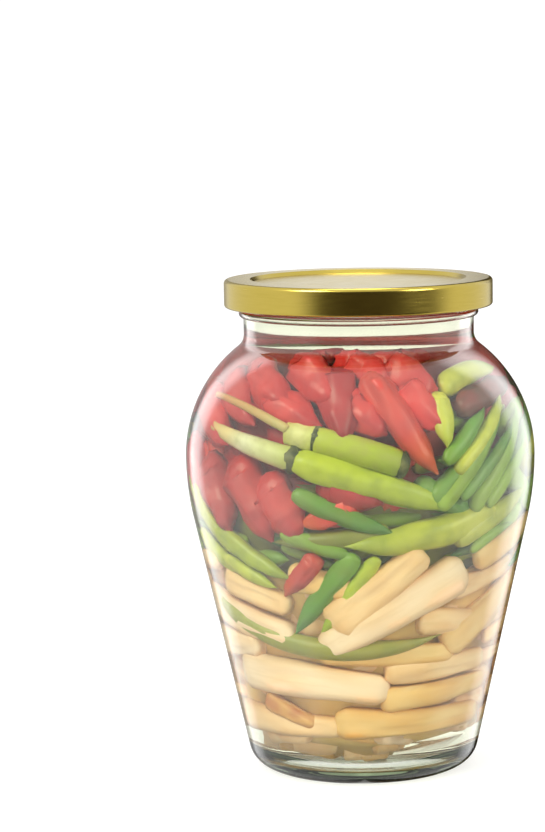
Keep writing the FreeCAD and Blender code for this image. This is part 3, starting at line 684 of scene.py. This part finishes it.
# The same for the shoots, with a width and a thickness in place of the girth.
SHOOT_FRONT = [
    ((-12, 65), (24, 93), 0.0, 0.6, 16.0, 9.0, SHOOT),
    ((42, 85), (-17, 56), 0.0, 0.0, 17.0, 9.0, SHOOT_PALE),
    ((-66, 44), (12, 39), 1.0, 0.0, 17.0, 10.0, SHOOT_PALE),
    ((10, 47), (66, 47), 0.0, 1.2, 12.0, 9.0, SHOOT),
    ((8, 35), (70, 38), 0.0, 0.3, 11.0, 9.0, SHOOT_WARM),
    ((-80, 24), (-10, 24), 0.0, 0.6, 12.0, 9.0, SHOOT),
    ((-52, 33), (-24, 25), 0.0, 0.2, 8.0, 7.0, SHOOT_BROWN),
    ((-14, 26), (70, 25), 0.0, 0.2, 13.0, 9.0, SHOOT_WARM),
    ((-46, 12), (8, 11.5), 0.0, 0.2, 11.0, 9.0, SHOOT_PALE),
    ((4, 11.5), (58, 12), 0.0, 0.4, 11.0, 9.0, SHOOT),
    ((38, 55), (84, 78), 0.0, 0.6, 14.0, 9.0, SHOOT_WARM),
    ((-88, 70), (-30, 60), 0.0, 0.6, 15.0, 9.0, SHOOT_PALE),
    ((-94, 52), (-50, 55), 0.0, 1.0, 14.0, 9.0, SHOOT_PALE),
    ((48, 88), (88, 98), 0.0, 1.0, 12.0, 8.0, SHOOT_WARM),
    ((-20, 55), (44, 52), 0.0, 2.0, 11.0, 8.0, SHOOT_WARM),
    ((-64, 80), (-30, 72), 0.0, 1.4, 12.0, 8.0, SHOOT),
    ((-30, 84), (6, 78), 0.0, 3.0, 12.0, 8.0, SHOOT_WARM),
    ((24, 66), (66, 62), 0.0, 2.0, 12.0, 8.0, SHOOT),
]


SHOOT_TRIES = 1900
SHOOT_HEIGHTS = (10, 84)
SHOOT_ENDS = (11, 86)
SHOOT_SEED = 23
SHOOT_DEEPEST = 14.0
CHILLI_DEEPEST = 15.0


def make_shoots():
    """Grow the shoots that lie at the front, then fill round them as far as there is room."""
    growth = Growth()
    chance = random.Random(SHOOT_SEED)
    index = 0
    for start, end, bow, depth, width, thick, colours in SHOOT_FRONT:
        path = Path(start, end, bow, depth, lambda _: thick * MM / 2)
        heap.take(path, (width + thick) / 4 * MM)
        index += 1
        grow_shoot(growth, path, width, thick, colours, index)
    for _ in range(SHOOT_TRIES):
        azimuth = chance.uniform(0, 360)
        height = chance.uniform(*SHOOT_HEIGHTS)
        sweep = chance.uniform(28, 50)
        rise = chance.uniform(-9, 9)
        width = chance.uniform(6, 14)
        thick = chance.uniform(5, 9)
        colours = chance.choice((SHOOT, SHOOT, SHOOT_PALE, SHOOT_WARM))
        finish = (azimuth + sweep, max(SHOOT_ENDS[0], min(SHOOT_ENDS[1], height + rise)))
        size = (width + thick) / 4 * MM
        path = heap.settle((azimuth, height), finish, 0.0, lambda _: thick * MM / 2, size, SHOOT_DEEPEST)
        if path:
            index += 1
            grow_shoot(growth, path, width, thick, colours, index)
    finish_piece(growth.mesh, "bamboo_shoots_packed", shoot_flesh(), ("bamboo_shoots",))


def from_front(azimuth):
    """An azimuth as a turn from the front, left below 0 and right above it."""
    return (azimuth + 180) % 360 - 180


def red_side(azimuth, height):
    """The front left, where the red chillies come further down."""
    turn = from_front(azimuth)
    return -95 < turn < 22 and height > 108 or -90 < turn < -18 and height > 98


def green_side(azimuth, height):
    """The front right, where green chillies stand up among the red ones."""
    return 30 < from_front(azimuth) < 105 and height < 158


def beyond_green_side(azimuth, height):
    return not green_side(azimuth, height)


def under_neck(azimuth, height):
    """The sides and the back of the shoulder, which only the brine fills."""
    return abs(from_front(azimuth)) > 50 and height > 140


def pack_chillies(
    growth, front, *, seed, tries, heights, girths, sweeps, drops, colours, tip, creases, elsewhere
):
    """Grow the chillies that lie at the front, then fill round them as far as there is room.

    What is filled in varies between the two ends of each range, and keeps out of elsewhere.
    """
    chance = random.Random(seed)
    index = seed * 100
    for start, end, bow, depth, girth, own in front:
        path = Path(start, end, bow, depth, chilli_half(girth, tip))
        heap.take(path, girth * 0.42 * MM)
        index += 1
        grow_chilli(growth, path, own, index, creases)
    for _ in range(tries):
        azimuth = chance.uniform(0, 360)
        height = chance.uniform(*heights)
        sweep = chance.choice((-1, 1)) * chance.uniform(*sweeps)
        drop = chance.uniform(*drops)
        girth = chance.uniform(*girths)
        own = chance.choice(colours)
        start = (azimuth, height)
        finish = (azimuth + sweep, max(heights[0], min(heights[1], height - drop)))
        middle = (azimuth + sweep / 2, (height + finish[1]) / 2)
        if any(elsewhere(*place) or under_neck(*place) for place in (start, middle, finish)):
            continue
        bow = chance.uniform(-2, 2)
        path = heap.settle(start, finish, bow, chilli_half(girth, tip), girth * 0.4 * MM, CHILLI_DEEPEST)
        if path:
            index += 1
            grow_chilli(growth, path, own, index, creases)


# The stalks and calyxes that show at the front: where each starts and ends, how far it bows up,
# how deep it is set, how thick it is along its length and its colours.
STALKS = [
    ((-24, 127.7), (-63, 137), 0.0, 0.3, stem_half(9.0, 3.6), STALK),
    ((-16.6, 135.0), (-27.5, 136.8), 0.0, 1.2, stem_half(9.6, 8.6), STRAW),
    ((-26, 138.5), (-68, 147), 2.2, 0.3, stem_half(3.6, 2.2), TAN),
    ((-24.3, 127.8), (-23.8, 127.7), 0.0, 0.0, blunt_half(10.2), CALYX),
    ((-16.6, 135.0), (-16.1, 134.9), 0.0, 1.2, blunt_half(10.6), CALYX),
    ((-16.2, 134.8), (14, 126.2), 0.6, 1.2, blunt_half(10.3), LIME),
    ((14, 126.2), (15.4, 125.8), 0.0, 1.0, blunt_half(10.8), CALYX),
]
STALK_SEED = 50
STALK_CREASES = 0.06


def make_stalks():
    """Pale stalks, with a dark ring at each calyx."""
    growth = Growth()
    for index, (start, end, bow, depth, half, colours) in enumerate(STALKS):
        path = Path(start, end, bow, depth, half)
        heap.take(path, half(0.7))
        grow_chilli(growth, path, colours, index + STALK_SEED, STALK_CREASES, STALK_RINGS)
    material = vegetable_skin("dried_chilli_stalk", "b9b26a", blotch_size=4.0, roughness=0.5, relief=0.8)
    finish_piece(growth.mesh, "chilli_stalks", material)


def make_chillies():
    """The green layer, the red one above it, and the green chillies that stand at the right."""
    make_stalks()
    greens = Growth()
    reds = Growth()
    pack_chillies(
        greens, GREEN_FRONT, seed=3, tries=1900, heights=(80, 126), girths=(4.5, 9.5), sweeps=(20, 46),
        drops=(-14, 14), colours=(LIME, YELLOW_GREEN, GREEN, GREEN, GRASS, GRASS, OLIVE), tip=0.06,
        creases=0.16, elsewhere=red_side,
    )
    pack_chillies(
        reds, RED_FRONT, seed=5, tries=1500, heights=(112, 159), girths=(9, 15), sweeps=(12, 36),
        drops=(-8, 24), colours=(RED, RED, RED_DEEP, RED_ORANGE), tip=0.14, creases=0.42,
        elsewhere=green_side,
    )
    pack_chillies(
        greens, [], seed=7, tries=700, heights=(96, 148), girths=(6, 10), sweeps=(16, 36),
        drops=(-24, 24), colours=(YELLOW_GREEN, GREEN, GREEN, GRASS, GRASS), tip=0.06, creases=0.16,
        elsewhere=beyond_green_side,
    )
    green_skin = vegetable_skin(
        "waxy_green_chilli_skin", "7f8f2c", blotch_size=7.0, roughness=0.38, relief=1.4
    )
    finish_piece(greens.mesh, "green_chillies_packed", green_skin, ("green_chillies",))
    red_skin = vegetable_skin("waxy_red_chilli_skin", "b3242a", blotch_size=8.0, roughness=0.4, relief=1.6)
    finish_piece(reds.mesh, "red_chillies_packed", red_skin, ("red_chillies",))


CORE_ROWS = 14
CORE_STEPS = 72
CORE_LUMP = 3 * MM
CORE_LUMPS = 90         # per metre
CORE_BLOTCHES = 60      # per metre


def make_core(name, low, high, inset, colour, blotch):
    """The inside of a layer, which only shows as the shade between its vegetables."""
    heights = [low + (high - low) * step / CORE_ROWS for step in range(CORE_ROWS + 1)]
    corners = [(0, low * MM)]
    corners += [(cavity.radius(height * MM) - inset * MM, height * MM) for height in heights]
    corners += [(0, high * MM)]
    mesh = spin_profile(corners, CORE_STEPS)
    skin = mesh.verts.layers.float_color.new("skin")
    for vert in mesh.verts:
        out = Vector((vert.co.x, vert.co.y, 0))
        if out.length > 1 * MM:
            lump = noise.noise(vert.co * CORE_LUMPS)
            vert.co += out.normalized() * (lump * CORE_LUMP)
        shade = noise.noise(vert.co * CORE_BLOTCHES)
        vert[skin] = blend(linear(colour), linear(blotch), 0.5 + shade)
    material = vegetable_skin(f"{name}_shade", blotch, blotch_size=9.0, roughness=0.6, relief=2.0)
    finish_piece(mesh, name, material)


BRINE_REACH = 0.25 * MM     # how far the brine goes into the glass, so that no air gap shows
BRINE_ROW = 2 * MM
BRINE_STEPS = 128
HEEL_ROWS = 13


def make_brine():
    """The brine: from the floor to its level, a little into the glass, with a meniscus."""
    heel = []
    for step in range(HEEL_ROWS):
        lean = math.pi / 2 * (1 - step / HEEL_ROWS)
        distance = cavity.across(cavity.heel, lean) + BRINE_REACH
        heel.append((distance * math.cos(lean), cavity.heel - distance * math.sin(lean)))
    heel[0] = (0, heel[0][1])
    sides = []
    height = cavity.heel
    while height < LEVEL:
        sides.append((cavity.radius(height) + BRINE_REACH, height))
        height += BRINE_ROW
    rim = cavity.radius(LEVEL) + BRINE_REACH
    meniscus = [(rim, LEVEL + 0.9 * MM), (rim - 0.6 * MM, LEVEL + 0.3 * MM), (rim - 1.6 * MM, LEVEL)]
    mesh = spin_profile(heel + sides + meniscus + [(0, LEVEL)], BRINE_STEPS)
    finish_piece(mesh, "brine_fill", pickling_brine(), ("brine",))


# ---- the lid and the glass, which keep their solids --------------------------------------------


def dress(node, material):
    """Give a frame node its finish."""
    piece = frame["nodes"][node]
    if not piece.data.materials:
        piece.data.materials.append(material)
    for slot in piece.material_slots:
        slot.material = material


dress("glass_jar", soda_lime_glass())
dress("lid", gold_lacquered_tinplate())
dress("lid_liner", flowed_plastisol())
make_brine()
make_shoots()
make_chillies()
make_core("shoot_core", low=7, high=84, inset=10, colour="f0c880", blotch="d8a864")
make_core("green_core", low=84, high=118, inset=13, colour="a09a3c", blotch="7a7430")
make_core("red_core", low=118, high=152, inset=17, colour="c23a36", blotch="9a2c2c")


# ---- studio ------------------------------------------------------------------------------------

FLOOR_HALF = 6.0
FLOOR_GLOW = 0.58       # the share of the floor's paleness that no shadow takes away


def make_floor():
    """A plain matt white sweep, pale and even round the jar. It also glows: painted light that keeps the
    jar's shadow on it pale and lights the jar from below.
    """
    mesh = bmesh.new()
    bmesh.ops.create_grid(mesh, x_segments=2, y_segments=2, size=FLOOR_HALF)
    data = bpy.data.meshes.new("studio_floor")
    mesh.to_mesh(data)
    mesh.free()
    floor = bpy.data.objects.new("studio_floor", data)
    bpy.context.scene.collection.objects.link(floor)
    material, tree = new_material("matt_white_sweep")
    shader = add(tree, "ShaderNodeBsdfPrincipled", {
        "Base Color": linear("b8b8b7"), "Roughness": 0.6,
        "Emission Color": linear("fffffd"), "Emission Strength": FLOOR_GLOW,
    })
    add(tree, "ShaderNodeOutputMaterial", {"Surface": shader.outputs["BSDF"]})
    material.cycles.emission_sampling = "NONE"
    data.materials.append(material)
    floor.visible_glossy = False


# What glossy surfaces mirror. The dark room is centred a little right of the front. Each pair says
# where something starts to fade and where it has gone: the room aside, up and down, then the flags
# behind, on both sides. Angles are turned into radians, and up and down are a direction's Z.
FADING = {"To Min": 1.0, "To Max": 0.0}
ROOM_CENTRE = math.radians(16)
ROOM_ASIDE = (math.radians(45), math.radians(72))
ROOM_UP = (0.2, 0.6)
ROOM_DOWN = (0.75, 0.95)
FLAG_START = (math.radians(150), math.radians(157))
FLAG_END = (math.radians(176), math.radians(179))
FLAG_CHANGE = 0.1       # how far each side of the middle the left flag gives way to the right one
LEFT_FLAG = 0.6         # how dark the left flag is beside the right one
INNER_FLAG = 0.35       # how dark the flags are for light that has bounced about in the glass
ONE_BOUNCE = 2.5        # a ray that the world catches after one bounce has a depth below this
DARKNESS = "382f27"
SKY_STRENGTH = 1.08


def make_sky():
    """White studio light. Glossy surfaces mirror a dark room in front and dark flags behind."""
    world = bpy.data.worlds.new("studio")
    bpy.context.scene.world = world
    world.use_nodes = True
    tree = world.node_tree
    tree.nodes.clear()
    way = add(tree, "ShaderNodeSeparateXYZ", {
        "Vector": add(tree, "ShaderNodeTexCoord").outputs["Generated"],
    })
    front = add(tree, MATH, {0: way.outputs["Y"], 1: -1.0}, operation="MULTIPLY")
    below = add(tree, MATH, {0: way.outputs["Z"], 1: -1.0}, operation="MULTIPLY")
    azimuth = add(tree, MATH, {0: way.outputs["X"], 1: front}, operation="ARCTAN2")
    turn = add(tree, MATH, {0: azimuth}, operation="ABSOLUTE")
    off_centre = add(tree, MATH, {0: azimuth, 1: ROOM_CENTRE}, operation="SUBTRACT")
    aside = add(tree, MATH, {0: off_centre}, operation="ABSOLUTE")
    fades = []
    for number, (near, far) in (
        (way.outputs["Z"], ROOM_UP), (below, ROOM_DOWN), (aside, ROOM_ASIDE),
        (turn, FLAG_START), (turn, FLAG_END),
    ):
        fades.append(add(tree, RANGE, {
            "Value": number, "From Min": near, "From Max": far, **FADING,
        }, interpolation_type="SMOOTHSTEP"))
    upper, lower, middle, before_flag, within_end = fades
    path = add(tree, "ShaderNodeLightPath")
    first = add(tree, MATH, {0: path.outputs["Ray Depth"], 1: ONE_BOUNCE}, operation="LESS_THAN")
    band = add(tree, MATH, {0: upper, 1: lower}, operation="MULTIPLY")
    room = add(tree, MATH, {0: middle, 1: band}, operation="MULTIPLY")
    room = add(tree, MATH, {0: room, 1: first}, operation="MULTIPLY")
    past_start = add(tree, MATH, {0: 1.0, 1: before_flag}, operation="SUBTRACT")
    flag = add(tree, MATH, {0: past_start, 1: within_end}, operation="MULTIPLY")
    depth = add(tree, MATH, {0: first, 1: INNER_FLAG}, operation="MAXIMUM")
    flag = add(tree, MATH, {0: flag, 1: depth}, operation="MULTIPLY")
    right = add(tree, RANGE, {
        "Value": way.outputs["X"], "From Min": -FLAG_CHANGE, "From Max": FLAG_CHANGE,
        "To Min": LEFT_FLAG, "To Max": 1.0,
    })
    flag = add(tree, MATH, {0: flag, 1: right}, operation="MULTIPLY")
    dark = add(tree, MATH, {0: room, 1: flag}, operation="MAXIMUM")
    mirrored = add(tree, MATH, {0: dark, 1: path.outputs["Is Glossy Ray"]}, operation="MULTIPLY")
    colour = add(tree, "ShaderNodeMix", {
        FACTOR: mirrored, FIRST: linear("ffffff"), SECOND: linear(DARKNESS),
    }, data_type="RGBA")
    light = add(tree, "ShaderNodeBackground", {
        "Color": colour.outputs[MIXED], "Strength": SKY_STRENGTH,
    })
    add(tree, "ShaderNodeOutputWorld", {"Surface": light.outputs["Background"]})
    world.cycles.sampling_method = "NONE"


LAMP_MIDDLE = 0.5       # the middle of a lamp's face, across it
LAMP_SOFT = (0.15, 0.5)
JAR_AIM = 0.1
PANEL_AIM = 0.7
PANEL_DISTANCE = 1.3


def make_lamp(name, place, size, power, receivers, aim):
    """A soft lamp that lights the given pieces and isn't seen itself."""
    lamp = bpy.data.lights.new(name, "AREA")
    lamp.shape = "RECTANGLE"
    lamp.size, lamp.size_y = size
    lamp.energy = power
    holder = bpy.data.objects.new(name, lamp)
    holder.location = place
    towards = Vector((0, 0, aim)) - holder.location
    holder.rotation_euler = towards.to_track_quat("-Z", "Y").to_euler()
    holder.visible_camera = False
    holder.visible_transmission = False
    holder.light_linking.receiver_collection = receivers
    bpy.context.scene.collection.objects.link(holder)
    lamp.use_nodes = True
    tree = lamp.node_tree
    tree.nodes.clear()
    face = add(tree, "ShaderNodeSeparateXYZ", {
        "Vector": add(tree, "ShaderNodeNewGeometry").outputs["Parametric"],
    })
    strength = 1.0
    for axis in ("X", "Y"):
        off_centre = add(tree, MATH, {0: face.outputs[axis], 1: LAMP_MIDDLE}, operation="SUBTRACT")
        aside = add(tree, MATH, {0: off_centre}, operation="ABSOLUTE")
        edge = add(tree, RANGE, {
            "Value": aside, "From Min": LAMP_SOFT[0], "From Max": LAMP_SOFT[1], **FADING,
        }, interpolation_type="SMOOTHSTEP")
        strength = add(tree, MATH, {0: strength, 1: edge}, operation="MULTIPLY")
    glow = add(tree, "ShaderNodeEmission", {"Strength": strength})
    add(tree, "ShaderNodeOutputLight", {"Surface": glow.outputs["Emission"]})


def gather(name, wanted):
    """A collection of the pieces that a lamp lights."""
    group = bpy.data.collections.new(name)
    for piece in bpy.context.scene.objects:
        if piece.type == "MESH" and wanted(piece):
            group.objects.link(piece)
    return group


def make_lamps():
    """Softboxes for all but the glass, so that they don't spot it, and two tall panels for its rims."""
    clear = (GLASS.name, "brine_fill")
    solids = gather("solid_pieces", lambda piece: piece.name not in clear)
    shoots = gather("shoot_pieces", lambda piece: "shoot" in piece.name)
    glass = gather("clear_pieces", lambda piece: piece.name in clear)
    right = at(131, PANEL_DISTANCE, PANEL_AIM)
    left = at(-136, PANEL_DISTANCE, PANEL_AIM)
    # Where each lamp hangs, its size, its power in watts, what it lights and the height it aims at.
    make_lamp("key_softbox", (-0.7, -0.7, 0.8), (0.6, 0.6), 24.0, solids, JAR_AIM)
    make_lamp("fill_softbox", (0.8, -0.6, 0.5), (0.5, 0.5), 11.0, solids, JAR_AIM)
    make_lamp("top_softbox", (0.0, 0.2, 1.1), (0.6, 0.6), 8.0, solids, JAR_AIM)
    make_lamp("low_softbox", (-0.15, -0.7, 0.03), (0.5, 0.3), 6.5, shoots, JAR_AIM)
    make_lamp("right_panel", right, (0.95, 3.6), 34.0, glass, PANEL_AIM)
    make_lamp("left_panel", left, (0.75, 3.6), 22.0, glass, PANEL_AIM)


CAMERA_PLACE = (0, -1.0489, 0.2734)
CAMERA_DOWN = math.radians(9.65)
CAMERA_ROLL = math.radians(-0.7)
LENS = 118.4            # millimetres, for a sensor 36 mm wide
SENSOR = 36.0
SHIFT = (-0.1065, 0.1276)


def make_camera():
    """The camera: a little above the jar, looking slightly down at its shoulder.

    It is shifted rather than turned aside, which keeps the jar upright, and rolled very little.
    """
    data = bpy.data.cameras.new("camera")
    data.lens = LENS
    data.sensor_width = SENSOR
    data.shift_x, data.shift_y = SHIFT
    data.clip_end = 50.0
    camera = bpy.data.objects.new("camera", data)
    camera.location = CAMERA_PLACE
    camera.rotation_euler = (math.pi / 2 - CAMERA_DOWN, 0, 0)
    turned = camera.rotation_euler.to_matrix()
    lean = turned @ Vector((0, 0, 1))
    camera.rotation_euler = (Matrix.Rotation(CAMERA_ROLL, 3, lean) @ turned).to_euler()
    bpy.context.scene.collection.objects.link(camera)
    bpy.context.scene.camera = camera


make_floor()
make_sky()
make_lamps()
make_camera()
bpy.context.scene.view_settings.view_transform = "Standard"
